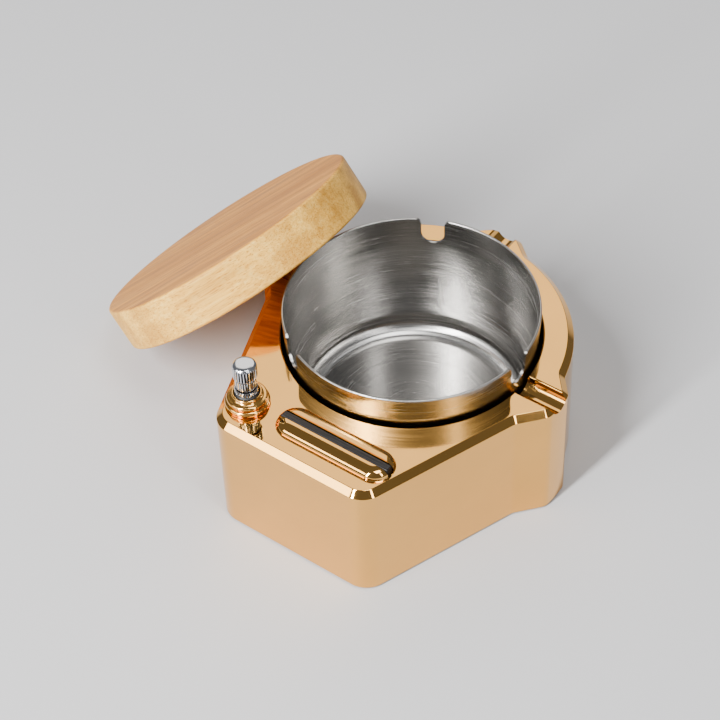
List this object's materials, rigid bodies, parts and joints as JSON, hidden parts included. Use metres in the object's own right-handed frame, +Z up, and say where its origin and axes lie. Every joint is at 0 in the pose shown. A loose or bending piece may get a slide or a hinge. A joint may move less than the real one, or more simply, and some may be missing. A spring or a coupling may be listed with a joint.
{
  "type": "tabletop ashtray with permanent match lighter",
  "caption": "Gold table ashtray with a lift-out steel bowl, a leaning bamboo lid, a screw-in permanent match and a flint bar set in its front deck.",
  "frame": {"origin": "on the table, under the centre of the bowl", "axes": "+Z up; the front face with the match and flint bar looks along -Y; the leaning lid is towards -X"},
  "size_m": [0.2073, 0.1488, 0.0892],
  "materials": {
    "gold_plate": "mirror polished gold plate",
    "collar_gold": "mirror polished gold plate",
    "bowl_steel": "spun, brushed around",
    "knob_steel": "bright, straight knurled",
    "plug_steel": "turned",
    "striker_steel": "turned",
    "screw_steel": "plain",
    "flint_black": "satin black",
    "bamboo": "laminated strips, satin oil",
    "black_plastic": "matt",
    "black_foam": "matt",
    "seat_felt": "pressed felt",
    "seal_rubber": "satin",
    "gasket_rubber": "matt",
    "tank_brass": "drawn",
    "tank_cap_brass": "stamped",
    "cotton_wadding": "loose cotton",
    "wick_fibre": "twisted fibre"
  },
  "bodies": {
    "base": {"base_housing": "gold_plate", "base_pad": "black_foam", "bottom_plate": "black_plastic", "plate_screw_1": "screw_steel", "plate_screw_2": "screw_steel", "plate_screw_3": "screw_steel", "plate_screw_4": "screw_steel", "bowl_seat_pad": "seat_felt", "fuel_tank": "tank_brass", "tank_gasket": "gasket_rubber", "tank_cap": "tank_cap_brass", "fuel_wadding": "cotton_wadding", "neck_collar": "collar_gold", "flint_rod": "flint_black"},
    "bowl": {"ash_bowl": "bowl_steel"},
    "lid": {"lid_disc": "bamboo"},
    "match_seal": {"match_o_ring": "seal_rubber"},
    "match": {"match_head": "knob_steel", "match_plug": "plug_steel", "match_stem": "striker_steel", "match_wick": "wick_fibre"}
  },
  "joints": [
    {"name": "bowl_lift", "type": "slide", "parent": "base", "child": "bowl", "axis": [0, 0, 1], "range_m": [0, 0.07]},
    {"name": "lid_lift", "type": "slide", "parent": "bowl", "child": "lid", "axis": [0, 0, 1], "range_m": [0, 0.08]},
    {"name": "match_draw", "type": "slide", "parent": "base", "child": "match_seal", "axis": [0, 0, 1], "range_m": [0, 0.06]},
    {"name": "match_unscrew", "type": "hinge", "parent": "match_seal", "child": "match", "pos_m": [-0.0291, -0.066, 0.0608], "axis": [0, 0, 1], "range_deg": [0, 1080]}
  ]
}
